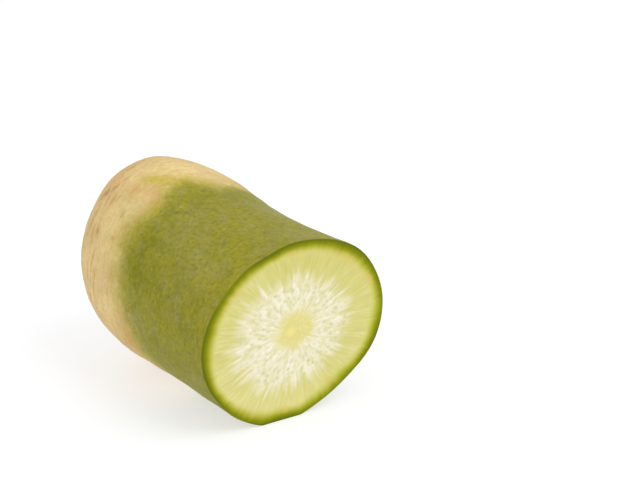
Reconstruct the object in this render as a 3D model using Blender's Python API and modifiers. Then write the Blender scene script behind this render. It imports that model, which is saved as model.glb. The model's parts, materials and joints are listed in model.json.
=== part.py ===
# The tail half of a green radish root, cut across with a knife and lying on its side.
# Metres, +Z up. The root lies along X, with its tail at low X and the cut face at high X.
# The origin is on the surface that it rests on, under the middle of its box.

import bpy
import numpy as np

# The root's axis, from the tail to the middle of the cut
ROOT_LENGTH = 0.090
AXIS_HEIGHT_AT_TAIL = 0.0372
AXIS_HEIGHT_AT_CUT = 0.0322
AXIS_BOW = -0.0024                  # sideways, at the middle of the length

# Plain radius of the body at four shares of the length, before the tail rounds it off
RADIUS_SHARES = (0.0, 0.36, 0.70, 1.0)
RADII = (0.0416, 0.0359, 0.0334, 0.0338)

# The blunt tail: a superellipse, where 2 is an ellipse and more is blunter
TAIL_LENGTH = 0.0345
TAIL_BLUNTNESS = 2.6
TAIL_TIP_SIDEWAYS = -0.0065         # from the axis to the tip
TAIL_TIP_UP = 0.010

# How far from round a section is: number of crests, height as a share of the radius,
# and direction of the first crest in degrees from +Y towards +Z
CUT_LOBES = ((2, 0.053, 20), (3, 0.015, 12), (4, 0.010, -10), (5, 0.0075, -22))
BULGE_LOBES = ((2, 0.012, -45), (3, 0.010, 0), (4, 0.022, 14))

# What grows out of the blunt tail: a low nose, and on it the flare of the thin taproot, trimmed off square
NOSE_HEIGHT = 0.002
NOSE_RADIUS = 0.025
TAPROOT_FLARE_HEIGHT = 0.017        # as if it ran on untrimmed
TAPROOT_FLARE_RADIUS = 0.0027
TAPROOT_STUB = 0.0075               # trimmed this far out of the nose

# The knife's cut
CUT_TURN = 2.5                      # degrees from square, seen from above
CUT_LEAN = 4.0                      # degrees from square, seen from the side

# What cuts the body: the knife, a cube whose near face is the cut, and the board under the root
KNIFE_SIZE = 0.12
BOARD_SIZE = (0.20, 0.12, 0.02)
OVERRUN = 0.012                     # how far the body runs on past the cut, for the knife to take off

# Facets
STEPS_ROUND = 72
TAIL_RINGS = 21
TAIL_RING_CROWDING = 1.7            # 1 spaces the rings evenly, and more crowds them at the tip
BODY_RINGS = 16
MERGE_DISTANCE = 0.00001
SHARP_EDGE = 40                     # degrees; an edge that turns more is shown sharp

SKIN_COLOUR = (0.29, 0.29, 0.045)
SKIN_ROUGHNESS = 0.5


def start_clean():
    for old in list(bpy.data.objects):
        bpy.data.objects.remove(old)


def new_collection(name):
    collection = bpy.data.collections.new(name)
    bpy.context.scene.collection.children.link(collection)
    return collection


def put_in(collection, item):
    for other in list(item.users_collection):
        other.objects.unlink(item)
    collection.objects.link(item)


def body_radius(station):
    """The cubic through the four radii, at a distance from the tail."""
    return np.polyval(np.polyfit(RADIUS_SHARES, RADII, 3), station / ROOT_LENGTH)


def profile():
    """Radius and distance from the tail along the plain outline, from the tip to past the cut."""
    trim_radius = TAPROOT_FLARE_RADIUS * np.log(TAPROOT_FLARE_HEIGHT / TAPROOT_STUB)
    power = 2 / TAIL_BLUNTNESS
    first_turn = np.arcsin((trim_radius / RADII[0]) ** (1 / power))
    turn = first_turn + (np.pi / 2 - first_turn) * np.linspace(0, 1, TAIL_RINGS) ** TAIL_RING_CROWDING
    tail = TAIL_LENGTH * (1 - np.cos(turn) ** power)
    run = np.linspace(TAIL_LENGTH, ROOT_LENGTH + OVERRUN, BODY_RINGS + 1)[1:]
    stations = np.concatenate([[0], tail, run, [run[-1]]])
    radii = np.concatenate([[0], body_radius(tail) * np.sin(turn) ** power, body_radius(run), [0]])
    return radii, stations


def turned_body(collection):
    """The profile turned round the Z axis, tail up, as a mesh that is still perfectly round."""
    radii, stations = profile()
    mesh = bpy.data.meshes.new("radish_profile")
    corners = [(r, 0, -s) for r, s in zip(radii, stations)]
    mesh.from_pydata(corners, [(i, i + 1) for i in range(len(corners) - 1)], [])
    outline = bpy.data.objects.new("radish_profile", mesh)
    collection.objects.link(outline)
    turn = outline.modifiers.new("turn", "SCREW")
    turn.axis = "Z"
    turn.steps = STEPS_ROUND
    turn.render_steps = STEPS_ROUND
    turn.use_merge_vertices = True
    turn.merge_threshold = MERGE_DISTANCE
    turned = bpy.data.meshes.new_from_object(outline.evaluated_get(bpy.context.evaluated_depsgraph_get()))
    bpy.data.objects.remove(outline)
    return turned


def lobes(angle, crests):
    return sum(height * np.cos(count * (angle - np.radians(first))) for count, height, first in crests)


def grown_shape(turned):
    """Moves the round mesh's points to the grown root's: laid along X, out of round, bowed, tip aside."""
    points = np.empty(len(turned.vertices) * 3)
    turned.vertices.foreach_get("co", points)
    across, along, down = points.reshape(-1, 3).T
    station = -down
    angle = np.arctan2(across, along)
    round_radius = np.hypot(across, along)

    share = np.clip(station / ROOT_LENGTH, 0, 1)
    to_cut = share * share * (3 - 2 * share)
    radius = round_radius * (1 + to_cut * lobes(angle, CUT_LOBES) + (1 - to_cut) * lobes(angle, BULGE_LOBES))
    axis_height = AXIS_HEIGHT_AT_TAIL + (AXIS_HEIGHT_AT_CUT - AXIS_HEIGHT_AT_TAIL) * station / ROOT_LENGTH
    axis_side = AXIS_BOW * 4 * share * (1 - share)

    # The tip lies aside of the axis, and what grows out of it points the same way
    nose = NOSE_HEIGHT * np.clip(1 - (round_radius / NOSE_RADIUS) ** 2, 0, 1) ** 2
    taproot = np.minimum(TAPROOT_FLARE_HEIGHT * np.exp(-round_radius / TAPROOT_FLARE_RADIUS), TAPROOT_STUB)
    outgrowth = np.where(station < TAIL_LENGTH, nose + taproot, 0)
    aside = np.clip(1 - station / TAIL_LENGTH, 0, 1) ** 2 + outgrowth / TAIL_LENGTH
    x = station - outgrowth
    y = radius * np.cos(angle) + axis_side + TAIL_TIP_SIDEWAYS * aside
    z = radius * np.sin(angle) + axis_height + TAIL_TIP_UP * aside
    turned.vertices.foreach_set("co", np.stack([x, y, z], axis=1).ravel())
    turned.update()


def block(name, size, location, collection):
    """A plain block that cuts, drawn as wire and left out of the model."""
    bpy.ops.mesh.primitive_cube_add(size=1, location=location)
    cutter = bpy.context.object
    cutter.name = name
    cutter.scale = size
    cutter.display_type = "WIRE"
    cutter.hide_render = True
    put_in(collection, cutter)
    return cutter


def cut_with(item, cutter):
    cut = item.modifiers.new(cutter.name, "BOOLEAN")
    cut.operation = "DIFFERENCE"
    cut.solver = "EXACT"
    cut.object = cutter


def skin_material():
    material = bpy.data.materials.new("green_radish_skin")
    material.use_nodes = True
    shader = material.node_tree.nodes["Principled BSDF"]
    shader.inputs["Base Color"].default_value = (*SKIN_COLOUR, 1)
    shader.inputs["Roughness"].default_value = SKIN_ROUGHNESS
    shader.inputs["Metallic"].default_value = 0
    material.diffuse_color = (*SKIN_COLOUR, 1)
    return material


def build():
    start_clean()
    model = new_collection("green_radish_half")
    cutters = new_collection("cutters")

    body = turned_body(model)
    grown_shape(body)
    body.materials.append(skin_material())
    radish = bpy.data.objects.new("green_radish", body)
    model.objects.link(radish)

    # The knife leans and turns about the middle of the cut
    knife = block("knife", (KNIFE_SIZE, KNIFE_SIZE, KNIFE_SIZE), (0, 0, 0), cutters)
    knife.rotation_euler = (0, np.radians(CUT_LEAN), -np.radians(CUT_TURN))
    bpy.context.view_layer.update()
    outward = knife.matrix_world.to_3x3().col[0].normalized()
    cut_middle = np.array((ROOT_LENGTH, 0, AXIS_HEIGHT_AT_CUT))
    knife.location = cut_middle + np.array(outward) * KNIFE_SIZE / 2

    # The board takes a sliver off under the bulge and under the edge of the cut, which leaves two small flats
    board = block("board", BOARD_SIZE, (ROOT_LENGTH / 2, 0, -BOARD_SIZE[2] / 2), cutters)
    cut_with(radish, knife)
    cut_with(radish, board)

    # An empty carries everything, so that the origin is under the middle of the box
    place = bpy.data.objects.new("place", None)
    model.objects.link(place)
    for item in (radish, knife, board):
        item.parent = place
    evaluated = radish.evaluated_get(bpy.context.evaluated_depsgraph_get())
    corners = np.array([vertex.co for vertex in evaluated.data.vertices])
    middle = (corners.min(axis=0) + corners.max(axis=0)) / 2
    place.location = (-middle[0], -middle[1], 0)

    body.shade_smooth()
    body.set_sharp_from_angle(angle=np.radians(SHARP_EDGE))
    bpy.context.view_layer.update()


build()
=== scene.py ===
import json
import bpy
import numpy as np
from mathutils import Matrix, Vector


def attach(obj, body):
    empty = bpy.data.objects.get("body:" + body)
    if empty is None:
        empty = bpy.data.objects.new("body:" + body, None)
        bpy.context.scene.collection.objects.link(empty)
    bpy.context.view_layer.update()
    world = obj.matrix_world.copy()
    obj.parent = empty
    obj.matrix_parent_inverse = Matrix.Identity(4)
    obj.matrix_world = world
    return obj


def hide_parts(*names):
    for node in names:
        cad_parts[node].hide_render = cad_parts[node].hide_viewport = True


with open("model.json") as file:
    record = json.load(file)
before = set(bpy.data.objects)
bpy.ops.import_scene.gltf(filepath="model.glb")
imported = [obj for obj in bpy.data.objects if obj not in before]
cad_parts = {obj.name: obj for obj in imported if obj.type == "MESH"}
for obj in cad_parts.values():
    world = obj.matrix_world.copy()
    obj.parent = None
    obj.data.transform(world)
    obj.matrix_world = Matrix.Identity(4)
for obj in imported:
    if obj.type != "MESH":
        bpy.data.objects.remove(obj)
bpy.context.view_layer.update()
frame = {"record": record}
print("frame loaded")

# The tail half of a green radish, cut across, lying on its side. Metres, +Z up, tail at low X, cut at high X.
# Two pieces: the body, with its skin and the narrow edge of the peel round the cut, and the cut flesh in it.
# The solid's own formula makes both, on a fine grid of rings (rows) and directions round the root (columns).

mmPerMetre = 1000

root = {
    "length": 0.090,          # tail tip to the middle of the cut
    "axisHeightAtTail": 0.0372,
    "axisHeightAtCut": 0.0322,
    "axisBow": -0.0024,       # sideways, at the middle of the length
    # Plain radius at four shares of the length
    "radiusShares": (0.0, 0.36, 0.70, 1.0),
    "radii": (0.0416, 0.0359, 0.0334, 0.0338),
    "tailLength": 0.0345,
    "tailBluntness": 2.6,     # 2 is an ellipse, more is blunter
    "tipSideways": -0.0065,
    "tipUp": 0.010,
    # Out of round: number of crests, height as a share of the radius, direction of the first in degrees
    # from +Y towards +Z
    "cutLobes": ((2, 0.053, 20), (3, 0.015, 12), (4, 0.010, -10), (5, 0.0075, -22)),
    "bulgeLobes": ((2, 0.012, -45), (3, 0.010, 0), (4, 0.022, 14)),
    "noseHeight": 0.002,
    "noseRadius": 0.025,
    "flareHeight": 0.017,     # of the taproot, as if it ran on untrimmed
    "flareRadius": 0.0027,
    "stub": 0.0075,           # the taproot is trimmed this far out
    "trimRounding": 0.0004,
    "floorBlend": 0.0002,     # how softly the skin turns into its resting flats
}

grid = {
    "columns": 400,
    "stubRings": 7,
    "tailRings": 104,
    "tailCrowding": 1.35,     # more than 1 crowds the rings at the tip
    "runRings": 118,
    "edgeRings": 5,           # over the rounded edge of the cut
    "faceRings": 110,         # over the cut flesh
    "cutRounds": 8,           # of stepping each line to the plane of the cut
    "sharpAngle": 50,         # degrees; an edge that turns more is shown sharp
}

cutEdge = {
    "rounding": 0.00022,
    "peelWidth": 0.0005,      # of the peel as seen on the cut
    "recessDepth": 0.006,     # how deep the flesh piece reaches into the body
    "recessTaper": 0.5,       # how far its wall leans in for each metre of depth
    "recessLedge": 0.004,     # flat rim of its floor
    # Depths of the rings down the recess's wall
    "wallDepths": (0, 0.0003, 0.001, 0.003),
    "gap": 0.00001,
}

cutMount = next(mount for mount in frame["record"]["mounts"] if mount["name"] == "cut_face")
cutMiddle = np.array(cutMount["pos_m"])
cutOut = np.array(cutMount["axis"]) / np.linalg.norm(cutMount["axis"])
formulaToRow = cutMiddle - (root["length"], 0, root["axisHeightAtCut"])     # a shift between the two frames


# Radius of the plain body: the cubic through the four radii.
def bodyRadius(station):
    return np.polyval(np.polyfit(root["radiusShares"], root["radii"], 3), station / root["length"])


# Out of round: a sum of cosines round the section, each with its own number of crests.
def lobes(angle, crests):
    return sum(height * np.cos(count * (angle - np.radians(first))) for count, height, first in crests)


# The lower of two values with the corner between them rounded.
def softLower(a, b, rounding):
    return (a + b - np.sqrt((a - b) ** 2 + rounding ** 2)) / 2


# A point of the root: its radius times lobes that pass from the bulge's to the cut's, on an axis that leans
# and bows. A low nose and the flare of the trimmed taproot push the tail out, to a tip aside of the axis.
def rootPoint(station, plainRadius, angle):
    tail = root["tailLength"]
    share = np.clip(station / root["length"], 0, 1)
    toCut = share * share * (3 - 2 * share)
    likeCut = toCut * lobes(angle, root["cutLobes"])
    likeBulge = (1 - toCut) * lobes(angle, root["bulgeLobes"])
    radius = plainRadius * (1 + likeCut + likeBulge)
    rise = (root["axisHeightAtCut"] - root["axisHeightAtTail"]) / root["length"]
    nose = root["noseHeight"] * np.clip(1 - (plainRadius / root["noseRadius"]) ** 2, 0, 1) ** 2
    flare = root["flareHeight"] * np.exp(-plainRadius / root["flareRadius"])
    outgrowth = np.where(station < tail, nose + softLower(flare, root["stub"], root["trimRounding"]), 0)
    aside = np.clip(1 - station / tail, 0, 1) ** 2 + outgrowth / tail
    x = station - outgrowth
    y = radius * np.cos(angle) + root["axisBow"] * 4 * share * (1 - share) + root["tipSideways"] * aside
    z = radius * np.sin(angle) + root["axisHeightAtTail"] + rise * station + root["tipUp"] * aside
    return np.stack([x, y, z], axis=-1) + formulaToRow


# Nothing reaches below the floor: heights under zero become zero, with a short parabola in between.
def restOnFloor(points):
    blend = root["floorBlend"]
    z = points[..., 2]
    points[..., 2] = np.where(z > blend, z, np.where(z < -blend, 0, (z + blend) ** 2 / (4 * blend)))
    return points


# Where each line along the root meets the plane of the cut: the station is stepped back, round after round,
# by how far along X its point lies past the plane.
def stationsAtCut(angle):
    station = np.full_like(angle, root["length"])
    for _ in range(grid["cutRounds"]):
        beyond = (rootPoint(station, bodyRadius(station), angle) - cutMiddle) @ cutOut
        station = station - beyond / cutOut[0]
    return station


# Rings of the skin from the tail to the cut, as station and plain radius: rings that widen over the trimmed
# end of the stub, then a superellipse over the tail, then rings that are evenly spaced up to the cut.
def skinRings(angle):
    power = 2 / root["tailBluntness"]
    trimRadius = root["flareRadius"] * np.log(root["flareHeight"] / root["stub"])
    firstTurn = np.arcsin((trimRadius / root["radii"][0]) ** (1 / power))
    crowded = np.linspace(0, 1, grid["tailRings"]) ** grid["tailCrowding"]
    turn = firstTurn + (np.pi / 2 - firstTurn) * crowded
    tailStation = root["tailLength"] * (1 - np.cos(turn) ** power)
    tailRadius = bodyRadius(tailStation) * np.sin(turn) ** power
    stubRadius = np.linspace(0, tailRadius[0], grid["stubRings"] + 1)[1:-1]
    stubStation = np.full_like(stubRadius, tailStation[0])
    station = np.concatenate([stubStation, tailStation])[:, None] + 0 * angle
    plainRadius = np.concatenate([stubRadius, tailRadius])[:, None] + 0 * angle
    run = np.linspace(0, 1, grid["runRings"] + 1)[1:, None]
    runStation = root["tailLength"] + run * (stationsAtCut(angle) - root["tailLength"])
    station = np.concatenate([station, runStation])
    plainRadius = np.concatenate([plainRadius, bodyRadius(runStation)])
    return station, plainRadius


print("shape formula ready")

angle = np.linspace(0, 2 * np.pi, grid["columns"], endpoint=False)
station, plainRadius = skinRings(angle)
skin = rootPoint(station, plainRadius, angle[None, :])

relief = {
    "swell": 0.00014,                  # low undulations all over
    "swellWaves": {"seed": 3, "count": 26, "shortest": 0.012, "longest": 0.030},
    "rings": 0.000035,                 # fine rings round the pale tail
    "ringWaves": {"seed": 8, "count": 18, "shortest": 0.0016, "longest": 0.0040, "stretch": (1, 0.12, 0.12)},
    "ringFade": 12,                    # mm over which they fade out at the green
    "tipRadius": 0.003,                # the relief starts at this radius
    "tipFade": 0.004,                  # and is full this much further out
    "leastRadius": 0.004,              # nearer the tip, spots are as narrow as at this radius
    "scarDepth": 0.00008,
    "scarLip": 0.00004,
    "scarLipSize": (2.2, 1.6),         # of the lip, along and round, in sizes of the scar
    "scarRows": ((0, 0), (180, 3.6)),  # two opposite rows of scars: turn in degrees, shift in mm
    # Scars of side roots: station in mm, direction in degrees, size along and round in mm, strength
    "scars": (
        (14.1, 132, 0.40, 1.2, 1.0), (16.4, 134, 0.30, 2.4, 0.6), (15.6, 128, 0.35, 1.8, 0.7),
        (14.4, 143, 0.30, 3.0, 0.5), (19.5, 152, 0.50, 1.2, 0.7), (14.1, 152, 0.35, 3.2, 0.6),
        (17.7, 158, 0.35, 2.6, 0.5), (26.8, 136, 0.25, 1.6, 0.6), (28.3, 149, 0.50, 0.8, 0.5),
        (21.9, 166, 0.40, 3.0, 0.3), (11.5, 165, 0.35, 3.0, 0.5), (10.5, 112, 0.35, 2.6, 0.5),
    ),
    "scuffLip": 0.00005,
    # Light scuffs on the green: the same five numbers
    "scuffs": (
        (41.2, 122, 0.30, 1.3, 1.0), (44.5, 112, 0.3, 1.3, 0.9), (39.2, 104, 0.3, 1.0, 0.7),
        (66.4, 108, 0.4, 0.8, 0.9), (75.3, 122, 0.3, 0.9, 0.8), (52.0, 98, 0.3, 0.8, 0.6),
        (58.0, 133, 0.3, 1.2, 0.6), (70.0, 158, 0.35, 0.9, 0.6), (48.0, 60, 0.3, 1.3, 0.8),
        (62.0, 330, 0.35, 1.0, 0.7), (55.0, 245, 0.3, 1.4, 0.7), (74.0, 15, 0.35, 0.9, 0.8),
    ),
}


# Unit vectors square to the surface: the cross product of its slopes round the root and along it.
def outward(points):
    lengthwise = np.gradient(points, axis=0)
    crosswise = np.roll(points, -1, axis=1) - np.roll(points, 1, axis=1)
    square = np.cross(crosswise, lengthwise)
    return square / np.linalg.norm(square, axis=-1, keepdims=True)


# Smooth noise with no seam: cosine waves in random directions, scaled to a mean square of one.
# stretch is how much of a wave's direction may lie along each axis.
def waves(points, seed, count, shortest, longest, stretch=(1, 1, 1)):
    draw = np.random.default_rng(seed)
    total = 0
    for _ in range(count):
        direction = draw.normal(size=3) * stretch
        direction = direction / np.linalg.norm(direction)
        length = draw.uniform(shortest, longest)
        start = draw.uniform(0, 2 * np.pi)
        total = total + np.cos(points @ direction * 2 * np.pi / length + start)
    return total / np.sqrt(count / 2)


# A soft spot on the skin: its strength times a bell curve of the distance from its middle. The middle is a
# station in mm and a direction in degrees, and the sizes are in mm along the root and round it.
def spot(middle, direction, sizeAlong, sizeRound, strength=1):
    turn = (angle - np.radians(direction) + np.pi) % (2 * np.pi) - np.pi
    lengthwise = (station - middle / mmPerMetre) / (sizeAlong / mmPerMetre)
    crosswise = turn * np.maximum(plainRadius, relief["leastRadius"]) / (sizeRound / mmPerMetre)
    return strength * np.exp(-(lengthwise ** 2 + crosswise ** 2))


# The strongest of some spots at each point.
def strongest(spots):
    return np.max([spot(*row) for row in spots], axis=0)


# Every scar is on both sides of the root, a dent in a lip that is wider than it. A scuff is raised a little.
scars = []
for middle, direction, *rest in relief["scars"]:
    scars += [(middle + shift, direction + turn, *rest) for turn, shift in relief["scarRows"]]
scarRelief = np.zeros_like(station)
lipAlong, lipRound = relief["scarLipSize"]
for middle, direction, sizeAlong, sizeRound, strength in scars:
    dent = spot(middle, direction, sizeAlong, sizeRound)
    lip = spot(middle, direction, sizeAlong * lipAlong, sizeRound * lipRound)
    scarRelief += strength * (relief["scarLip"] * lip - (relief["scarDepth"] + relief["scarLip"]) * dent)
for row in relief["scuffs"]:
    scarRelief += relief["scuffLip"] * spot(*row)

paleBoundary = {
    # Where the pale tail turns green: direction in degrees, station in mm, width of the change in mm
    "line": (
        (0, 31, 10), (25, 29, 11), (45, 31, 11), (53, 34.0, 12), (62, 36.2, 12), (70, 37.2, 11),
        (80, 39.4, 11), (86, 38.6, 12), (90, 35.0, 12), (94, 33.0, 12), (99, 32.0, 12), (106, 32.5, 13),
        (112, 35.2, 12), (118, 37.0, 9), (121, 37.2, 9), (126, 38.5, 11), (131, 37.0, 13), (136, 34.8, 15),
        (144, 35.2, 15), (148, 35.4, 15), (152, 35.2, 14), (158, 37.0, 13), (165, 38.2, 13),
        (171, 40.6, 14), (178, 41.4, 15), (184, 43.0, 16), (191, 44.4, 15), (200, 45.2, 17),
        (206, 45.8, 21), (211, 46.6, 24), (216, 49.5, 24), (224, 54, 18), (244, 55, 12), (262, 49, 11),
        (285, 42, 12), (310, 36, 12), (335, 32, 11),
    ),
    "smoothing": (-2, -1, 0, 1, 2),    # degrees over which the line is averaged
}


# The numbers of a table round the root: straight lines between its directions, averaged over some degrees.
def aroundRoot(table, smoothing=(0,)):
    directions, *columns = np.transpose(table)
    turns = [np.degrees(angle) + step for step in smoothing]
    filled = [[np.interp(turn, directions, column, period=360) for turn in turns] for column in columns]
    return np.mean(filled, axis=1)


edgeStation, edgeSoftness = aroundRoot(paleBoundary["line"], paleBoundary["smoothing"])
pastEdge = station * mmPerMetre - edgeStation

patches = {
    # Soft patches of another tone: station in mm, direction in degrees, size along and round in mm, strength
    "goldPatch": (
        (23.5, 112, 1.8, 2.8, 0.8), (25.6, 109.5, 2.2, 3.0, 1.0), (28.2, 106, 2.6, 3.0, 1.0),
        (31, 101, 2.8, 3.4, 1.0), (32.0, 95, 2.0, 4.0, 0.5), (35, 87, 2.6, 4.4, 0.5),
        (38.5, 122, 2.6, 3, 0.6), (33, 108, 1.8, 2.4, 0.6),
    ),
    "lightPatch": (
        (24, 100, 5, 9, 1.0), (27, 90, 4, 7, 0.8), (22, 140, 6, 6, 0.5), (19.7, 169, 5, 6, 1.0),
        (26, 190, 4, 4, 1.0), (28, 156, 4, 4, 0.7), (32.5, 186, 4, 5, 1.0), (16, 210, 6, 10, 0.5),
    ),
    "ochrePatch": (
        (28.3, 149, 0.9, 1.2, 1.0), (18.9, 132, 1.0, 2.4, 0.8), (33.4, 168, 2.6, 2.2, 0.6),
        (19.5, 152, 0.8, 1.5, 0.7), (30.0, 330, 1.0, 1.6, 0.8), (21.0, 290, 1.0, 2.0, 0.7),
        (24.0, 20, 1.0, 1.8, 0.7), (27.0, 230, 1.2, 2.0, 0.7),
    ),
    "greenCream": (
        (24.9, 128, 4, 5, 0.9), (29.0, 133, 3.5, 5, 0.9), (26.0, 143, 3, 5, 0.6), (36, 168, 5, 6, 0.5),
        (22, 60, 5, 8, 0.6), (26, 270, 5, 9, 0.7), (20, 320, 5, 8, 0.6),
    ),
    "yellowPatch": (
        (36, 100, 7, 12, 0.9), (38, 80, 6, 12, 0.6), (82, 126, 8, 11, 1.0), (86, 146, 5, 16, 1.0),
        (70, 100, 7, 8, 0.6), (66, 176, 9, 7, 0.5), (62, 132, 6, 8, 0.6), (60, 300, 12, 14, 0.7),
        (55, 20, 10, 12, 0.7), (75, 240, 9, 13, 0.7),
    ),
    # Dark green patches. The two at 196 and 214 degrees, low on the side near the floor, are painted shade.
    "darkPatchAndLowShade": (
        (44, 149, 5, 11, 1.0), (48, 163, 5, 8, 0.7), (41, 130, 4, 6, 0.6), (80, 178, 7, 9, 0.3),
        (62, 158, 8, 8, 0.4), (45, 60, 7, 12, 0.6), (56, 330, 9, 14, 0.7), (68, 250, 9, 14, 0.6),
        (72, 196, 22, 8, 0.2), (88, 214, 7, 8, 1.0), (51, 138, 5, 7, 0.5), (54, 146, 4, 5, 0.3),
    ),
    "lightGreenPatch": (
        (57, 123, 5, 5, 0.5), (64, 117, 5, 6, 0.7), (69, 134, 6, 6, 1.0), (77, 138, 5, 6, 0.8),
        (50, 177, 5, 5, 0.9), (72, 300, 8, 9, 0.6), (58, 20, 7, 8, 0.5),
    ),
    "limePatch": (
        (88, 137, 5, 6, 1.0), (82, 143, 5, 5, 0.5), (84, 330, 5, 9, 0.6),
    ),
    "greyPatch": (
        (70, 132, 8, 9, 0.7), (54, 116, 8, 11, 0.9), (46, 184, 3, 6, 0.9), (52, 197, 4, 6, 0.7),
        (84, 80, 7, 14, 0.8), (60, 60, 10, 14, 0.7), (70, 300, 10, 14, 0.7), (66, 226, 8, 8, 0.6),
    ),
    "peachPatch": (
        (30, 52, 6, 10, 1.0), (31.2, 62, 4, 7, 0.9), (32, 116, 4, 4, 0.7), (24.5, 118, 3.5, 5, 1.0),
        (39, 204, 7, 9, 1.0), (32, 212, 7, 8, 1.0), (31.5, 200, 4, 4, 1.0), (16, 150, 5, 9, 0.4),
        (24, 250, 9, 14, 0.8), (20, 0, 8, 12, 0.7), (12, 100, 5, 9, 0.5), (13, 120, 4, 12, 0.6),
    ),
}


# Relief: low swells all over, fine rings on the pale tail, scars and scuffs. It fades out at the stub.
paleShare = np.clip(0.5 - pastEdge / relief["ringFade"], 0, 1)
height = relief["swell"] * waves(skin, **relief["swellWaves"])
height += relief["rings"] * paleShare * waves(skin, **relief["ringWaves"])
height += scarRelief
height *= np.clip((plainRadius - relief["tipRadius"]) / relief["tipFade"], 0, 1)
skin = skin + outward(skin) * height[..., None]
beyond = (skin[-1] - cutMiddle) @ cutOut
skin[-1] -= beyond[:, None] * cutOut
skin = restOnFloor(skin)
print("skin worked out:", skin.shape[0], "rings of", skin.shape[1])

outline = skin[-1].copy()
centre = outline.mean(axis=0)
fromCentre = outline - centre
outlineRadius = np.linalg.norm(fromCentre, axis=1)
toOutline = fromCentre / outlineRadius[:, None]


# The outline of the cut moved inwards in its plane by a distance, and back into the body by another.
def cutRing(inwards, back):
    return outline - toOutline * inwards - cutOut * back


# The body's end: a rounded edge, the peel's flat edge, a wall that leans in down the recess, and its floor.
rounding = cutEdge["rounding"]
edgeTurn = np.linspace(0, np.pi / 2, grid["edgeRings"])
edgeRings = [cutRing(rounding * (1 - np.cos(turn)), rounding * (1 - np.sin(turn))) for turn in edgeTurn]
skin[-1] = edgeRings[0]
peel = cutEdge["peelWidth"]
recessDepths = np.array([*cutEdge["wallDepths"], cutEdge["recessDepth"], cutEdge["recessDepth"]])
recessInsets = recessDepths * cutEdge["recessTaper"]
recessInsets[-1] += cutEdge["recessLedge"]
recessRings = [cutRing(peel + inset, depth) for inset, depth in zip(recessInsets, recessDepths)]
endRings = restOnFloor(np.array(edgeRings[1:] + recessRings))
bodyRings = np.concatenate([skin, endRings])
tip = skin[0].mean(axis=0)
recessMiddle = centre - cutOut * cutEdge["recessDepth"]


# A new object in the scene.
def newObject(name, data):
    item = bpy.data.objects.new(name, data)
    bpy.context.scene.collection.objects.link(item)
    return item


# A closed mesh from rings: four-cornered faces between neighbouring rings, and a fan of triangles at each
# end. values holds an array of one number or three for every ring point, which becomes an attribute.
def closedMesh(name, rings, firstPole, lastPole, values, mapPlace, polePlaces):
    rows, columns = rings.shape[:2]
    points = np.concatenate([[firstPole], rings.reshape(-1, 3), [lastPole]])
    index = 1 + np.arange(rows * columns).reshape(rows, columns)
    beside = np.roll(index, -1, axis=1)
    quads = np.stack([index[:-1], beside[:-1], beside[1:], index[1:]], axis=-1).reshape(-1, 4)
    firstFan = np.stack([0 * index[0], beside[0], index[0]], axis=-1)
    lastFan = np.stack([0 * index[0] + rows * columns + 1, index[-1], beside[-1]], axis=-1)
    mesh = bpy.data.meshes.new(name)
    mesh.from_pydata(points.tolist(), [], quads.tolist() + firstFan.tolist() + lastFan.tolist())
    for title, array in values.items():
        array = np.asarray(array, np.float32)
        ends = [array[0].mean(axis=0, keepdims=True), array[-1].mean(axis=0, keepdims=True)]
        flat = array.reshape(rows * columns, *array.shape[2:])
        full = np.concatenate([ends[0], flat, ends[1]])
        vector = full.ndim == 2
        attribute = mesh.attributes.new(title, "FLOAT_VECTOR" if vector else "FLOAT", "POINT")
        attribute.data.foreach_set("vector" if vector else "value", full.ravel())
    around = [mapPlace[:-1, :-1], mapPlace[:-1, 1:], mapPlace[1:, 1:], mapPlace[1:, :-1]]
    corners = np.stack(around, axis=2).reshape(-1, 2)
    first = np.stack([polePlaces[0], mapPlace[0, 1:], mapPlace[0, :-1]], axis=1).reshape(-1, 2)
    last = np.stack([polePlaces[1], mapPlace[-1, :-1], mapPlace[-1, 1:]], axis=1).reshape(-1, 2)
    layer = mesh.uv_layers.new(name="OFBake")
    layer.data.foreach_set("uv", np.concatenate([corners, first, last]).astype(np.float32).ravel())
    mesh.shade_smooth()
    mesh.set_sharp_from_angle(angle=np.radians(grid["sharpAngle"]))
    mesh.validate()
    return newObject(name, mesh)


# A value on the skin's rings, carried on unchanged over the rings of the cut edge and the recess.
def carriedOn(array):
    more = len(bodyRings) - len(array)
    return np.concatenate([array, np.repeat(array[-1:], more, axis=0)])


skinMap = {
    "firstArc": 0.001,          # what the first ring counts as, in distance from the tip
    "cylinderRadius": 0.036,    # of the cylinder that patterns wrap round
    "margin": 0.004,            # at either end of the picture that the skin is baked to
    "poles": (0.001, 0.999),
}

# Distance along the surface from the tip, averaged round the root, and the place on a cylinder of its size.
stepLength = np.linalg.norm(np.diff(bodyRings, axis=0), axis=-1).mean(axis=1)
arc = skinMap["firstArc"] + np.concatenate([[0], np.cumsum(stepLength)])
cylinder = skinMap["cylinderRadius"]
wrapped = np.broadcast_arrays(arc[:, None], cylinder * np.cos(angle), cylinder * np.sin(angle))
wrapped = np.stack(wrapped, axis=-1)
onCut = np.zeros(bodyRings.shape[:2])
onCut[len(skin):] = 1

mapColumns = np.linspace(0, 1, grid["columns"] + 1)
mapRows = skinMap["margin"] + (1 - 2 * skinMap["margin"]) * arc / arc[-1]
bodyMap = np.stack(np.broadcast_arrays(mapColumns[None, :], mapRows[:, None]), axis=-1)
columnMiddles = (mapColumns[1:] + mapColumns[:-1]) / 2
bodyPoles = [np.stack([columnMiddles, np.full_like(columnMiddles, end)], axis=1) for end in skinMap["poles"]]

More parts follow.
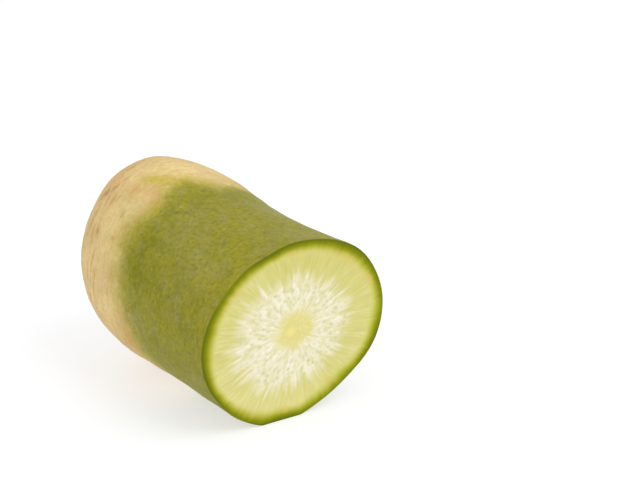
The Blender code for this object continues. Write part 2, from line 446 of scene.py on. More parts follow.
# The flesh and its rind, whose outermost edge is the peel on the body.
flesh = {
    # The green rind: direction in degrees, width in mm from the outline to where it is half faded, and how
    # far along its colours it starts, where 0 is the darkest green
    "rind": (
        (0, 3.3, 0.34), (8, 2.9, 0.26), (22, 2.8, 0.16), (37, 3.6, 0.10), (58, 3.8, 0), (75, 3.1, 0.08),
        (95, 3.2, 0), (112, 2.6, 0), (125, 2.95, 0.12), (137, 2.7, 0.22), (150, 2.65, 0.20), (167, 3.5, 0),
        (178, 3.65, 0), (190, 2.9, 0), (203, 2.35, 0), (215, 2.45, 0.10), (235, 2.8, 0.30),
        (252, 3.9, 0.02), (270, 2.8, 0.06), (285, 2.9, 0.34), (298, 2.9, 0.42), (314, 3.0, 0.38),
        (329, 2.75, 0.22), (345, 3.45, 0.06),
    ),
    "fibreRelief": 0.00003,
    "fibreSeed": 5,
    "fibreCounts": (31, 47, 74, 96, 121, 143),      # of fibres round the cut, one for each wave
    "fibreTurns": (0, 6),              # radians that a wave may be turned by
    "fibreBend": 1.5,                  # radians that it swings to and fro on the way out
    "fibreBends": (6, 14),             # fewest and most such swings, in radians
    "fibreFade": (0.15, 0.40),         # shares of the radius where the fibres start and are full
    "unevenness": 0.00006,
    "unevenWaves": {"seed": 12, "count": 20, "shortest": 0.006, "longest": 0.022},
    "edgeFade": 14,                    # how steeply the relief fades out at the edge
    "sink": 0.00005,                   # below the plane of the cut
    "wallDepths": (0.003, 0.001),
    "plugLedge": 0.008,                # flat rim of the plug's hidden floor
    "edgeRounding": 0.00008,
    "edgeMiddle": (0.3, 0.15),         # how far down and in the rounding's middle ring lies, in roundings
    "mapRadius": 0.485,                # of the cut, on the picture that it is baked to
    "hiddenMap": (0.07, 0.07),         # middle of the plug's hidden sides on that picture
    "hiddenRadius": 0.06,
    "hiddenStart": 0.4,                # share of that radius where they start
}
rindWidth, rindStart = aroundRoot(flesh["rind"])
print("rind measured out")

radishBody = closedMesh(
    "radish_body", bodyRings, tip, recessMiddle,
    {
        "pastEdge": carriedOn(pastEdge),
        "edgeSoftness": edgeSoftness + 0 * onCut,
        "scar": carriedOn(strongest(scars)),
        "scuff": carriedOn(strongest(relief["scuffs"])),
        "fromTip": carriedOn(plainRadius * mmPerMetre),
        "wrapped": wrapped,
        "onCut": onCut,
        "rindStart": rindStart + 0 * onCut,
        **{kind: carriedOn(strongest(patches[kind])) for kind in patches},
    },
    bodyMap, bodyPoles,
)
print("body made:", len(radishBody.data.polygons), "faces")

# A plug from the recess's floor to the plane of the cut, with its top on rings that shrink to the centre.
plugEdge = peel + cutEdge["gap"]
plugDepth = cutEdge["recessDepth"] - cutEdge["gap"]
plugRounding = flesh["edgeRounding"]
plugRadius = outlineRadius - plugEdge - plugRounding
topShare = np.linspace(1, 0, grid["faceRings"] + 1)[:-1, None]
topRings = centre + topShare[..., None] * (toOutline * plugRadius[:, None])
cutAngle = np.arctan2(-toOutline @ np.cross(cutOut, (0, 1, 0)), toOutline[:, 1])


# Relief of the cut: fine fibres that run out from the middle, as cosines round it that bend on the way out,
# and a slight unevenness. It fades out at the edge.
def fleshHeight():
    draw = np.random.default_rng(flesh["fibreSeed"])
    fibres = 0
    for count in flesh["fibreCounts"]:
        start = draw.uniform(*flesh["fibreTurns"])
        bend = flesh["fibreBend"] * np.cos(topShare * draw.uniform(*flesh["fibreBends"]))
        fibres = fibres + np.cos(count * cutAngle[None, :] + start + bend)
    fibres = fibres / np.sqrt(len(flesh["fibreCounts"]) / 2)
    fibreStart, fibreFull = flesh["fibreFade"]
    fibres = fibres * np.clip((topShare - fibreStart) / (fibreFull - fibreStart), 0, 1)
    uneven = flesh["unevenness"] * waves(topRings, **flesh["unevenWaves"])
    fade = np.clip((1 - topShare) * flesh["edgeFade"], 0, 1)
    return fade * (flesh["fibreRelief"] * fibres + uneven - flesh["sink"])


topRings = topRings + cutOut * fleshHeight()[..., None]
downShare, inShare = flesh["edgeMiddle"]
sideDepths = np.array([plugDepth, plugDepth, *flesh["wallDepths"], plugRounding, downShare * plugRounding])
sideInsets = sideDepths * cutEdge["recessTaper"]
sideInsets[0] += flesh["plugLedge"]
sideInsets[-1] += inShare * plugRounding
sideRings = np.array([cutRing(plugEdge + inset, back) for inset, back in zip(sideInsets, sideDepths)])
fleshRings = restOnFloor(np.concatenate([sideRings, topRings]))
fleshShare = np.concatenate([np.ones((len(sideRings), 1)), topShare])
fromOutline = outlineRadius - fleshShare * plugRadius
intoRind = rindStart + (1 - rindStart) * fromOutline * mmPerMetre / rindWidth
cutPlace = fleshShare[..., None] * np.stack([np.cos(cutAngle), np.sin(cutAngle), 0 * cutAngle], axis=1)

turned = np.append(cutAngle, cutAngle[0])
circle = np.stack([np.cos(turned), np.sin(turned)], axis=1)
hiddenMiddle = np.array(flesh["hiddenMap"])
hiddenShares = np.linspace(flesh["hiddenStart"], 1, len(sideRings))
hiddenMap = hiddenMiddle + flesh["hiddenRadius"] * hiddenShares[:, None, None] * circle
topMap = 0.5 + flesh["mapRadius"] * topShare[..., None] * circle
fleshMap = np.concatenate([hiddenMap, topMap])
fleshPoles = [np.tile(hiddenMiddle, (grid["columns"], 1)), np.full((grid["columns"], 2), 0.5)]

cutFlesh = closedMesh(
    "cut_flesh", fleshRings, centre - cutOut * plugDepth, centre - cutOut * flesh["sink"],
    {"cutPlace": cutPlace, "intoRind": intoRind},
    fleshMap, fleshPoles,
)
print("flesh made:", len(cutFlesh.data.polygons), "faces")


# A colour as read from a screen, 0 to 255, as the linear colour that shaders use.
def screenColour(red, green, blue):
    values = np.array([red, green, blue]) / 255
    linear = np.where(values <= 0.04045, values / 12.92, ((values + 0.055) / 1.055) ** 2.4)
    return (*linear.tolist(), 1)


# Fills a node's inputs, each with a socket to link or a plain value.
def fillInputs(tree, item, inputs):
    for title, value in inputs.items():
        if isinstance(value, bpy.types.NodeSocket):
            tree.links.new(value, item.inputs[title])
        else:
            item.inputs[title].default_value = value


# One node with its inputs and settings.
def addNode(tree, kind, inputs=None, **settings):
    item = tree.nodes.new(kind)
    for title, value in settings.items():
        setattr(item, title, value)
    fillInputs(tree, item, inputs or {})
    return item


# One step of arithmetic on one to three values.
def calculate(tree, operation, first, second=0.0, third=0.0):
    return addNode(tree, "ShaderNodeMath", {0: first, 1: second, 2: third}, operation=operation).outputs[0]


# One step of arithmetic on vectors.
def vectorStep(tree, operation, inputs, output="Vector"):
    return addNode(tree, "ShaderNodeVectorMath", inputs, operation=operation).outputs[output]


# The first colour turned into the second by an amount, or multiplied by it.
def blendColour(tree, amount, first, second, mode="MIX"):
    item = addNode(tree, "ShaderNodeMix", {0: amount, 6: first, 7: second}, data_type="RGBA", blend_type=mode)
    return item.outputs[2]


# Noise from 0 to 1. Detail adds finer noise to it, and roughness says how strong that is.
def noiseAt(tree, place, scale, detail, roughness=0.6):
    inputs = {"Vector": place, "Scale": scale, "Detail": detail, "Roughness": roughness}
    return addNode(tree, "ShaderNodeTexNoise", inputs).outputs["Fac"]


# A noise from 0 to 1 less a half, so that it lies about zero.
def aboutZero(tree, noise):
    return calculate(tree, "SUBTRACT", noise, 0.5)


# A place times a number on each axis, which makes patterns there narrower by it.
def stretched(tree, place, scale):
    return addNode(tree, "ShaderNodeMapping", {"Vector": place, "Scale": scale}).outputs["Vector"]


# An attribute of the piece's own mesh.
def meshValue(tree, title, output="Fac"):
    return addNode(tree, "ShaderNodeAttribute", attribute_name=title).outputs[output]


# Colours along a value: stops are (position, colour), with positions from low to high.
def colourStops(tree, value, low, high, stops):
    fraction = addNode(tree, "ShaderNodeMapRange", {"Value": value, "From Min": low, "From Max": high})
    ramp = addNode(tree, "ShaderNodeValToRGB", {"Fac": fraction.outputs["Result"]})
    elements = ramp.color_ramp.elements
    while len(elements) < len(stops):
        elements.new(0.5)
    for element, (position, colour) in zip(elements, stops):
        element.position = (position - low) / (high - low)
        element.color = screenColour(*colour)
    return ramp.outputs["Color"]


# A material with its node tree and its shader.
def newMaterial(name):
    material = bpy.data.materials.new(name)
    material.use_nodes = True
    return material, material.node_tree, material.node_tree.nodes["Principled BSDF"]


# Short forms for one material: the product of some values, a value scaled by a factor and moved, one less an
# amount, a value between two limits made 0 to 1 along an S-shaped curve, and a colour turned into a tone of
# the material's look by an amount.
def shortForms(tree, look):
    def times(product, *values):
        for value in values:
            product = calculate(tree, "MULTIPLY", product, value)
        return product

    def scaled(value, factor, more):
        return calculate(tree, "MULTIPLY_ADD", value, factor, more)

    def without(amount):
        return calculate(tree, "SUBTRACT", 1.0, amount)

    def between(value, low, high):
        inputs = {"Value": value, "From Min": low, "From Max": high}
        return addNode(tree, "ShaderNodeMapRange", inputs, interpolation_type="SMOOTHSTEP").outputs["Result"]

    def tint(colour, amount, tone):
        return blendColour(tree, amount, colour, screenColour(*look[tone]))

    return times, scaled, without, between, tint


# Joins the colour to the shader, and a fine pattern to its roughness and its bumps.
def finishMaterial(tree, shader, look, colour, pattern):
    smoothest = look["roughness"] - look["roughnessSwing"]
    roughest = look["roughness"] + look["roughnessSwing"]
    inputs = {"Value": pattern, "To Min": smoothest, "To Max": roughest}
    roughness = addNode(tree, "ShaderNodeMapRange", inputs).outputs["Result"]
    inputs = {"Height": pattern, "Strength": look["bumpStrength"], "Distance": look["bumpDepth"]}
    bumps = addNode(tree, "ShaderNodeBump", inputs).outputs["Normal"]
    fillInputs(tree, shader, {
        "Base Color": colour,
        "Roughness": roughness,
        "Normal": bumps,
        "Specular IOR Level": look["shine"],
    })


skinLook = {
    "boundaryTones": (                 # share of the boundary's width, colour
        (-0.75, (226, 200, 140)), (-0.4, (214, 192, 118)), (-0.1, (190, 175, 86)), (0.2, (165, 158, 56)),
        (0.55, (144, 142, 34)), (1.0, (139, 138, 28)),
    ),
    # How the boundary wanders: scale, detail and roughness of the noise, and its full swing in mm
    "wander": (190, 5, 0.62, 8.0),
    "plainGreen": (6, 16),             # mm past the boundary where the plain green sets in and is full
    "greenRise": (-0.3, 0.5),          # where green starts and is full, as shares of the boundary's width
    "goldEnd": (0.25, 0.6),            # the same for the gold patches, where they start to end and are gone
    "green": (148, 143, 41),
    "palerCream": (241, 215, 150),
    "peach": (219, 171, 110),
    "streak": (196, 146, 84),
    "scar": (156, 108, 58),
    "gold": (199, 181, 60),
    "yellowGreen": (160, 153, 34),
    "darkGreen": (116, 121, 18),
    "greyGreen": (155, 149, 86),
    "lightGreen": (172, 164, 84),
    "lime": (176, 166, 42),
    "paleFleck": (160, 154, 56),
    "lightSpeck": (170, 163, 78),
    "darkSpeck": (115, 112, 20),
    "scuff": (184, 176, 104),
    "peelOnCut": (106, 115, 0),
    "palerPeel": (142, 146, 24),
    "ochre": (196, 148, 66),
    "taproot": (190, 150, 92),
    "trimRim": (138, 98, 56),
    "trimmed": (234, 222, 182),
    "greenCream": (212, 200, 126),
    # Broad patches: mask in the mesh, tone, strength, side of the boundary
    "broadPatches": (
        ("lightPatch", "palerCream", 0.9, "pale"), ("greenCream", "greenCream", 0.8, "pale"),
        ("ochrePatch", "ochre", 0.7, "pale"), ("yellowPatch", "yellowGreen", 0.75, "green"),
        # the dark patches are dark green skin and also painted shade low on the side near the floor
        ("darkPatchAndLowShade", "darkGreen", 0.75, "green"), ("greyPatch", "greyGreen", 0.75, "green"),
        ("lightGreenPatch", "lightGreen", 0.6, "green"), ("limePatch", "lime", 0.8, "green"),
        ("peachPatch", "peach", 0.8, "pale"),
    ),
    # A noise: its scale, or its scales along and round the root, its detail, and where it starts and is full
    "mottle": (110, 3, 0.3, 0.6),      # breaks up the broad patches
    # Clouds on the green: tone, strength, noise
    "clouds": (
        ("yellowGreen", 0.45, (140, 4, 0.46, 0.70)),
        ("greyGreen", 0.40, (100, 4, 0.48, 0.72)),
        ("darkGreen", 0.35, (175, 4, 0.52, 0.75)),
    ),
    # Flecks on the green: the same
    "flecks": (
        ("greyGreen", 0.50, ((230, 200, 200), 1.5, 0.50, 0.68)),
        ("yellowGreen", 0.45, ((220, 210, 210), 1.5, 0.50, 0.68)),
        ("paleFleck", 0.45, ((420, 380, 380), 4, 0.50, 0.68)),
        ("darkSpeck", 0.32, ((480, 440, 440), 4, 0.50, 0.68)),
    ),
    "creamPatches": (130, 3, 0.48, 0.72),
    "peachBands": ((380, 60, 60), 4, 0.48, 0.72),
    "streaks": ((850, 130, 130), 5, 0.53, 0.68),
    "farOut": (-24, -10),              # mm from the boundary where streaks are strongest and weakest
    "streakStrength": (0.65, 0.22),    # what lying far out adds, and the least
    # How strong the other tones are at most
    "strengths": {
        "gold": 0.85, "palerCream": 0.6, "peach": 0.45, "scar": 0.85, "scuff": 0.8, "taproot": 0.65,
        "trimRim": 0.8,
    },
    # How the distance from the root's axis wanders at the trimmed end, and over the tan: like the boundary
    "trimWander": (900, 3, 0.5, 0.5),
    "tanWander": (420, 4, 0.5, 5.0),
    # The taproot: mm from the axis where a tone is full and where it ends
    "taprootReach": (1.8, 6.5),
    "trimRimReach": (2.15, 2.6),
    "trimmedReach": (1.7, 2.05),
    "grain": ((820, 700, 700), 4, 0.65),            # scales along and round the root, detail, roughness
    "grainContrast": (0.42, 0.46),     # what the green adds, and the pale tail's own
    # Specks: tone, scale, shift of the pattern, strength on the green
    "specks": (("lightSpeck", 560.0, 0.3, 0.22), ("darkSpeck", 520.0, 0.7, 0.35)),
    "speckOnPale": 0.05,
    "speckReach": (0.06, 0.42),        # cells from a speck's middle, where it is full and where it ends
    "speckNoise": (420, 2, 0.42, 0.62),             # which specks show
    "palerPeelRise": (0, 0.4),         # where in the rind's start the peel begins to be paler, and is palest
    "roughness": 0.5,
    "roughnessSwing": 0.08,
    "bumpStrength": 0.4,
    "bumpDepth": 0.00015,
    "shine": 0.10,
}


# The skin: cream that turns to green across a soft, ragged boundary. Patches, clouds and flecks lie on the
# green, and cream patches and streaks round the root on the pale tail. A grain and specks cover both.
def skinMaterial():
    look = skinLook
    strengths = look["strengths"]
    material, tree, shader = newMaterial("radish_skin")
    times, scaled, without, between, tint = shortForms(tree, look)
    place = addNode(tree, "ShaderNodeTexCoord").outputs["Object"]
    wrappedPlace = meshValue(tree, "wrapped", "Vector")

    # noise made 0 to 1 between a low and a high value
    def noiseBand(where, scale, detail, low, high):
        return between(noiseAt(tree, where, scale, detail), low, high)

    # the same on the place that wraps round the root, with a scale along it and round it
    def wrappedBand(scale, detail, low, high):
        return noiseBand(stretched(tree, wrappedPlace, scale), 1.0, detail, low, high)

    # a value moved to and fro by noise
    def stirred(value, scale, detail, roughness, swing):
        noise = noiseAt(tree, place, scale, detail, roughness)
        return scaled(aboutZero(tree, noise), swing, value)

    # the boundary
    moved = stirred(meshValue(tree, "pastEdge"), *look["wander"])
    across = calculate(tree, "DIVIDE", moved, meshValue(tree, "edgeSoftness"))
    colour = colourStops(tree, across, -1, 1, look["boundaryTones"])
    colour = tint(colour, between(moved, *look["plainGreen"]), "green")
    green = between(across, *look["greenRise"])
    pale = without(green)
    sides = {"green": green, "pale": pale}

    # broad patches, the dark ones partly painted shade low on the side near the floor, and clouds and flecks
    # on the green
    mottle = noiseBand(place, *look["mottle"])
    for kind, tone, most, side in look["broadPatches"]:
        colour = tint(colour, times(meshValue(tree, kind), sides[side], mottle, most), tone)
    beforeGreen = without(between(across, *look["goldEnd"]))
    colour = tint(colour, times(meshValue(tree, "goldPatch"), beforeGreen, strengths["gold"]), "gold")
    for tone, most, noise in look["clouds"]:
        colour = tint(colour, times(noiseBand(place, *noise), green, most), tone)
    for tone, most, noise in look["flecks"]:
        colour = tint(colour, times(wrappedBand(*noise), green, most), tone)

    # pale tail: cream patches, and peach and brown streaks round the root, most of them far out on the tail
    farOut = without(between(meshValue(tree, "pastEdge"), *look["farOut"]))
    patchy = noiseBand(place, *look["creamPatches"])
    colour = tint(colour, times(patchy, pale, strengths["palerCream"]), "palerCream")
    colour = tint(colour, times(wrappedBand(*look["peachBands"]), pale, strengths["peach"]), "peach")
    streaks = times(wrappedBand(*look["streaks"]), pale)
    colour = tint(colour, times(streaks, scaled(farOut, *look["streakStrength"])), "streak")
    colour = tint(colour, times(meshValue(tree, "scar"), pale, strengths["scar"]), "scar")
    colour = tint(colour, times(meshValue(tree, "scuff"), green, strengths["scuff"]), "scuff")

    # the taproot turns tan, and its trimmed end is pale with a brown rim
    fromTip = stirred(meshValue(tree, "fromTip"), *look["trimWander"])
    ragged = stirred(fromTip, *look["tanWander"])
    tan = without(between(ragged, *look["taprootReach"]))
    colour = tint(colour, times(tan, strengths["taproot"]), "taproot")
    rim = without(between(fromTip, *look["trimRimReach"]))
    colour = tint(colour, times(rim, strengths["trimRim"]), "trimRim")
    colour = tint(colour, without(between(fromTip, *look["trimmedReach"])), "trimmed")

    # grain, and light and dark specks
    grainScale, *grainDetail = look["grain"]
    grain = noiseAt(tree, stretched(tree, wrappedPlace, grainScale), 1.0, *grainDetail)
    contrast = scaled(green, *look["grainContrast"])
    shade = scaled(aboutZero(tree, grain), contrast, 1.0)
    colour = blendColour(tree, 1.0, colour, shade, "MULTIPLY")
    for tone, scale, shift, most in look["specks"]:
        shifted = vectorStep(tree, "ADD", {0: place, 1: (shift, 0, 0)})
        cells = addNode(tree, "ShaderNodeTexVoronoi", {"Vector": shifted, "Scale": scale})
        speck = without(between(cells.outputs["Distance"], *look["speckReach"]))
        strength = scaled(green, most, look["speckOnPale"])
        colour = tint(colour, times(speck, noiseBand(shifted, *look["speckNoise"]), strength), tone)

    # the peel's edge on the cut, paler where the rind starts paler
    paler = between(meshValue(tree, "rindStart"), *look["palerPeelRise"])
    peelColour = tint(screenColour(*look["peelOnCut"]), paler, "palerPeel")
    colour = blendColour(tree, meshValue(tree, "onCut"), colour, peelColour)
    finishMaterial(tree, shader, look, colour, grain)
    return material


fleshLook = {
    # Waves round the middle: features round it and outwards, reach, shift of the pattern
    # Ray noises: features round the middle and outwards, detail, where it starts and is full, shift
    "rind": (                          # depth into the rind in widths of it, colour
        (0.14, (108, 117, 2)), (0.3, (116, 124, 3)), (0.45, (128, 133, 8)), (0.6, (141, 145, 18)),
        (0.72, (156, 157, 32)), (0.85, (172, 170, 49)), (1.0, (187, 184, 70)), (1.15, (200, 196, 92)),
        (1.35, (212, 207, 116)), (1.7, (222, 215, 136)), (2.3, (223, 216, 140)),
    ),
    "rindDepth": 2.5,                  # how deep those colours run
    "rindFade": (1.1, 1.9),            # where the rind starts to turn into flesh and is gone
    "rindWaves": ((3, 0.5, 0.35), (16, 1.5, 0.30)),        # what makes it wider and narrower
    # The rind is greener towards one side, by a filter that its colour is multiplied by
    "greenerSide": (0.8, 0.6, 0),
    "greenerFilter": (0.94, 1.0, 0.80, 1),
    "greenerRise": (0.0, 0.8),
    "flesh": (217, 210, 129),
    "brighterFlesh": (230, 224, 163),
    "darkerFlesh": (211, 204, 115),
    "lowerFlesh": (231, 222, 148),
    "lowerSide": (-0.25, 0.97, 0),
    # Tones towards that side and away from it: tone, where it starts and is full
    "sideTones": (("lowerFlesh", 0.2, 0.9), ("darkerFlesh", -0.2, -0.9)),
    "sideStrength": 0.5,
    "fineLines": (25, 4.5),            # lines in the flesh: features round the middle and outwards
    "fineLineRise": (0.42, 0.74),      # where in its noise a line starts and is full
    "fineLineStrength": 0.8,
    "clearRise": (0.66, 0.90),         # shares of the radius where lines start to be clearer and are clearest
    "clearness": (0.6, 0.4),           # what that adds, and the least
    "shadeLines": (30, 4.0, 15.0),     # the same of darker and lighter lines, and a shift of their pattern
    "shadeRise": (0.5, 0.85),          # shares of the radius where those start and are full
    "shadeContrast": 0.30,
    "lineDetail": (2, 0.55),           # detail and roughness of the noise of both
    "fleshRays": (                     # tone, strength, ray noise
        ("brighterFlesh", 0.36, (4, 2.5, 3, 0.42, 0.72)),
        ("darkerFlesh", 0.3, (17, 3.0, 3, 0.5, 0.75, 9)),
    ),
    "star": (247, 240, 216),
    "starReach": 0.622,                # share of the radius
    "starWaves": ((2.0, 0.4, 0.14), (8, 0.7, 0.16), (17, 1.1, 0.34)),      # what makes it longer and shorter
    "spikes": (10, 0.6, 1, 0.55, 0.75, 3),
    "spikeReach": 0.075,
    "longerSide": (-0.97, 0.25, 0),    # where the star's rays are longer
    "longerReach": 0.06,
    "starEdge": (-0.10, 0.13),         # past and before the reach, where the star ends and is full
    "threads": (12, 7.0, 2, 0.34, 0.62),
    "threadStrength": (0.38, 0.62),    # what a thread adds to the white, and the white between threads
    "starRays": (                      # tone, strength, ray noise
        ("pinkerStar", 0.5, (9, 6.0, 2, 0.52, 0.70, 8)),
        ("starLight", 0.75, (9, 6.0, 2, 0.50, 0.68, 12)),
        ("starShade", 0.75, (8, 8.0, 2, 0.50, 0.68, 6)),
        ("starShade", 0.6, (11, 10.0, 2, 0.50, 0.70, 4)),
    ),
    "pinkerStar": (249, 235, 221),
    "starLight": (253, 247, 230),
    "starShade": (226, 219, 163),
    "vessel": (212, 211, 152),
    # Two sets of vessels: cells round the middle and outwards, shift
    "vesselRows": ((6.4, 13.5, 0.0), (7.8, 15.5, 5.0)),
    "vesselZone": ((0.16, 0.36), (0.54, 0.70)),     # shares of the radius where they set in and end
    "vesselDisorder": 0.95,            # 0 is an even grid of cells
    "vesselReach": (0.06, 0.55),       # cells from a vessel's middle, where it is full and where it ends
    "vesselNoise": (7, 6, 3, 0.36, 0.62),           # ray noise that thins them out
    "vesselStrength": 0.95,
    "core": (228, 217, 131),
    "coreLight": (240, 230, 172),
    "corePeach": (242, 222, 162),
    "coreDeep": (222, 211, 118),
    "coreSpot": (243, 228, 143),
    "coreReach": 0.195,
    "corePlace": (0.0, -0.025, 0),
    "coreWobble": (9.0, 3),            # noise that makes its edge ragged: scale, detail
    "coreWobbleReach": 0.22,
    "coreWaves": ((6, 1.0, 0.10, 3.0), (14, 2.0, 0.12, 6.0)),
    "coreEdge": (-0.10, 0.07),         # past and before its reach, where it ends and is full
    "coreStrength": 0.90,
    "innerEdge": (-0.08, 0.06),        # the same for its flecks
    # Flecks in the core: tone, strength, scale of the noise
    "coreFlecks": (("coreLight", 0.6, 24.0), ("corePeach", 0.55, 15.0), ("coreDeep", 0.4, 32.0)),
    "coreFleckDetail": 3,
    "coreFleckRise": (0.50, 0.68),
    "coreSpotPlace": (-0.045, -0.012, 0),
    "coreSpotReach": (0.01, 0.08),
    "warm": (222, 196, 106),           # blotches where the rind fades
    "warmZone": ((0.75, 1.1), (1.3, 2.2)),          # depths into the rind where they set in and end
    "warmNoise": (3.4, 1.0, 2, 0.5, 0.7, 7),
    "warmStrength": 0.5,
    "roughness": 0.36,
    "roughnessSwing": 0.08,
    "bumpStrength": 0.25,
    "bumpDepth": 0.00010,
    "shine": 0.05,
}


# The cut flesh: pale flesh with fine lines out from the middle, a white star with many soft thin rays and
# pale green vessels in rows, a yellow core, and a green rind that fades inwards. Patterns use the direction
# from the middle and the share of the radius, so they fit the outline.
def fleshMaterial():
    look = fleshLook
    material, tree, shader = newMaterial("radish_flesh")
    times, scaled, without, between, tint = shortForms(tree, look)
    place = meshValue(tree, "cutPlace", "Vector")
    direction = vectorStep(tree, "NORMALIZE", {0: place})
    radius = vectorStep(tree, "LENGTH", {0: place}, "Value")

    # the sum of two values
    def plus(first, second):
        return calculate(tree, "ADD", first, second)

    # a place for noise that has features round the middle and outwards, in the two given numbers
    def rays(around, outwards, shift=0.0):
        spread = vectorStep(tree, "SCALE", {0: direction, "Scale": around})
        height = scaled(radius, outwards, shift)
        lift = addNode(tree, "ShaderNodeCombineXYZ", {"Z": height}).outputs["Vector"]
        return vectorStep(tree, "ADD", {0: spread, 1: lift})

    # noise there, made 0 to 1 between a low and a high value
    def rayNoise(around, outwards, detail, low, high, shift=0.0):
        return between(noiseAt(tree, rays(around, outwards, shift), 1.0, detail), low, high)

    # noise there about zero, times a reach
    def sway(around, outwards, reach, shift=0.0):
        return times(aboutZero(tree, noiseAt(tree, rays(around, outwards, shift), 1.0, 1, 0.5)), reach)

    # noise there with the detail of lines
    def lineNoise(*where):
        return noiseAt(tree, rays(*where), 1.0, *look["lineDetail"])

    # how far a point lies towards a side
    def towards(side):
        return vectorStep(tree, "DOT_PRODUCT", {0: place, 1: side}, "Value")

    # how far a point lies from another, in radii
    def distanceFrom(middle):
        return vectorStep(tree, "DISTANCE", {0: place, 1: middle}, "Value")

    # flesh with fine lines, clearest towards the rind, brighter towards the lower side
    fine = lineNoise(*look["fineLines"])
    clearer = scaled(between(radius, *look["clearRise"]), *look["clearness"])
    lines = times(between(fine, *look["fineLineRise"]), clearer, look["fineLineStrength"])
    colour = tint(screenColour(*look["flesh"]), lines, "brighterFlesh")
    for tone, most, noise in look["fleshRays"]:
        colour = tint(colour, times(rayNoise(*noise), most), tone)
    down = towards(look["lowerSide"])
    for tone, start, full in look["sideTones"]:
        colour = tint(colour, times(between(down, start, full), look["sideStrength"]), tone)
    shade = aboutZero(tree, lineNoise(*look["shadeLines"]))
    shade = times(shade, between(radius, *look["shadeRise"]))
    shade = scaled(shade, look["shadeContrast"], 1.0)
    colour = blendColour(tree, 1.0, colour, shade, "MULTIPLY")

    # star: white where the radius is less than a reach that changes from ray to ray, with a few longer spikes
    wide, narrower, narrowest = look["starWaves"]
    reach = plus(sway(*wide), sway(*narrower))
    reach = plus(reach, plus(sway(*narrowest), look["starReach"]))
    spikes = times(rayNoise(*look["spikes"]), look["spikeReach"])
    reach = plus(plus(reach, spikes), times(towards(look["longerSide"]), look["longerReach"]))
    star = between(calculate(tree, "SUBTRACT", reach, radius), *look["starEdge"])
    threads = rayNoise(*look["threads"])
    colour = tint(colour, times(star, scaled(threads, *look["threadStrength"])), "star")
    for tone, most, noise in look["starRays"]:
        colour = tint(colour, times(star, rayNoise(*noise), most), tone)

    # vessels: two sets of cells in rows along the rays
    setIn, end = look["vesselZone"]
    zone = times(between(radius, *setIn), without(between(radius, *end)))
    for around, outwards, shift in look["vesselRows"]:
        where = rays(around, outwards, shift)
        inputs = {"Vector": where, "Scale": 1.0, "Randomness": look["vesselDisorder"]}
        cells = addNode(tree, "ShaderNodeTexVoronoi", inputs)
        dots = without(between(cells.outputs["Distance"], *look["vesselReach"]))
        dots = times(dots, rayNoise(*look["vesselNoise"], shift))
        colour = tint(colour, times(dots, zone, look["vesselStrength"]), "vessel")

    # core, with a ragged edge, flecks of three tones and a spot
    wobble = times(aboutZero(tree, noiseAt(tree, place, *look["coreWobble"])), look["coreWobbleReach"])
    wide, narrower = look["coreWaves"]
    wobble = plus(wobble, plus(sway(*wide), sway(*narrower)))
    inCore = calculate(tree, "SUBTRACT", plus(wobble, look["coreReach"]), distanceFrom(look["corePlace"]))
    colour = tint(colour, times(between(inCore, *look["coreEdge"]), look["coreStrength"]), "core")
    inner = between(inCore, *look["innerEdge"])
    for tone, most, scale in look["coreFlecks"]:
        flecks = between(noiseAt(tree, place, scale, look["coreFleckDetail"]), *look["coreFleckRise"])
        colour = tint(colour, times(inner, flecks, most), tone)
    spotDistance = distanceFrom(look["coreSpotPlace"])
    colour = tint(colour, without(between(spotDistance, *look["coreSpotReach"])), "coreSpot")

    # rind
    wide, narrower = look["rindWaves"]
    fromPeel = plus(meshValue(tree, "intoRind"), plus(sway(*wide), sway(*narrower)))
    rindColour = colourStops(tree, fromPeel, 0, look["rindDepth"], look["rind"])
    greener = between(towards(look["greenerSide"]), *look["greenerRise"])
    rindColour = blendColour(tree, greener, rindColour, look["greenerFilter"], "MULTIPLY")
    colour = blendColour(tree, without(between(fromPeel, *look["rindFade"])), colour, rindColour)
    setIn, end = look["warmZone"]
    warm = times(between(fromPeel, *setIn), without(between(fromPeel, *end)))
    colour = tint(colour, times(warm, rayNoise(*look["warmNoise"]), look["warmStrength"]), "warm")
    finishMaterial(tree, shader, look, colour, fine)
    return material


radishBody.data.materials.append(skinMaterial())
cutFlesh.data.materials.append(fleshMaterial())
for piece, slot in ((radishBody, "radish_skin"), (cutFlesh, "radish_flesh")):
    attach(piece, "root")
    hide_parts("green_radish")
print("materials on")

studio = {
    "floorSize": 8.0,
    "floorColour": (0.50, 0.51, 0.53, 1),
    "floorRoughness": 0.9,
    "floorShine": 0.1,
    "floorGlow": 0.46,
    "seenFloorGlow": 0.575,   # as the camera sees it
    "skyStrength": 0.78,
    "seenSkyStrength": 1.1,   # what the camera sees of it, as white as the floor
    "keyStrength": 4.6,
    "keySize": 0.9,
    "keyPlace": (0.76, 0.30, 1.0),
    "keyAim": (0, 0, 0.03),
}


# One value for what the camera sees itself, and another for the light that falls on things.
def seenOrLit(tree, seen, lit):
    direct = addNode(tree, "ShaderNodeLightPath").outputs["Is Camera Ray"]
    return calculate(tree, "MULTIPLY_ADD", direct, seen - lit, lit)


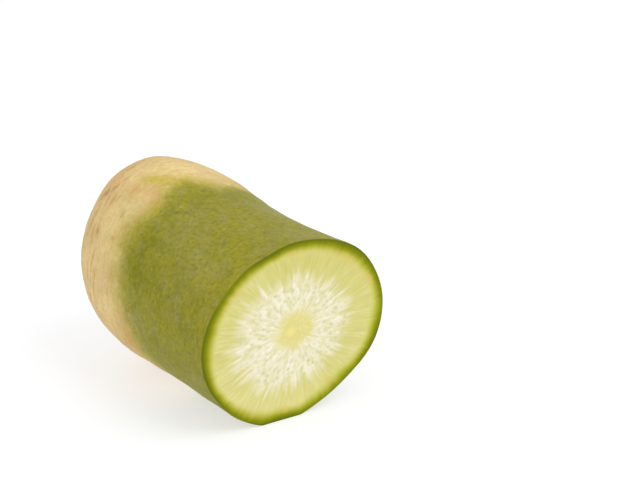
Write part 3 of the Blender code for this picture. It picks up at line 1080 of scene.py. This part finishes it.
# A plain pale floor, one square, that glows a little so that it comes out nearly white.
def makeFloor():
    half = studio["floorSize"] / 2
    mesh = bpy.data.meshes.new("floor")
    corners = [(-half, -half, 0), (half, -half, 0), (half, half, 0), (-half, half, 0)]
    mesh.from_pydata(corners, [], [(0, 1, 2, 3)])
    material, tree, shader = newMaterial("floor_white")
    fillInputs(tree, shader, {
        "Base Color": studio["floorColour"],
        "Roughness": studio["floorRoughness"],
        "Specular IOR Level": studio["floorShine"],
        "Emission Color": (1, 1, 1, 1),
        "Emission Strength": seenOrLit(tree, studio["seenFloorGlow"], studio["floorGlow"]),
    })
    mesh.materials.append(material)
    floor = newObject("floor", mesh)


# Soft white light from all round, and a round lamp above and to one side.
def makeLights():
    world = bpy.data.worlds.new("studio_white")
    world.use_nodes = True
    tree = world.node_tree
    strength = seenOrLit(tree, studio["seenSkyStrength"], studio["skyStrength"])
    fillInputs(tree, tree.nodes["Background"], {"Color": (1, 1, 1, 1), "Strength": strength})
    bpy.context.scene.world = world
    lamp = bpy.data.lights.new("key", "AREA")
    lamp.energy = studio["keyStrength"]
    lamp.shape = "DISK"
    lamp.size = studio["keySize"]
    key = newObject("key", lamp)
    lampPlace = Vector(studio["keyPlace"])
    facing = (lampPlace - Vector(studio["keyAim"])).to_track_quat("Z", "Y")
    key.matrix_world = Matrix.Translation(lampPlace) @ facing.to_matrix().to_4x4()


viewing = {
    "azimuth": 53.907,        # degrees; 0 looks along +Y
    "elevation": 19.529,
    "lens": 85.0,
    "aim": (0.0033354, 0.0017116, 0.035),
    "distance": 0.533,        # from the aim, along the line of sight
    "right": 0.03480,         # the camera's shift from the aim
    "up": 0.01562,
}


# The camera looks along the line of sight through the aim, from a place moved right and up of it.
def makeCamera():
    turn, rise = np.radians(viewing["azimuth"]), np.radians(viewing["elevation"])
    right = Vector((np.cos(turn), np.sin(turn), 0))
    back = Vector((np.sin(turn) * np.cos(rise), -np.cos(turn) * np.cos(rise), np.sin(rise)))
    up = back.cross(right)
    lens = bpy.data.cameras.new("camera")
    lens.lens = viewing["lens"]
    camera = newObject("camera", lens)
    cameraPlace = Vector(viewing["aim"]) + viewing["distance"] * back
    cameraPlace = cameraPlace + viewing["right"] * right + viewing["up"] * up
    camera.matrix_world = Matrix.Translation(cameraPlace) @ Matrix((right, up, back)).transposed().to_4x4()
    bpy.context.scene.camera = camera


makeFloor()
makeLights()
makeCamera()
bpy.context.scene.view_settings.view_transform = "Standard"
print("studio ready")
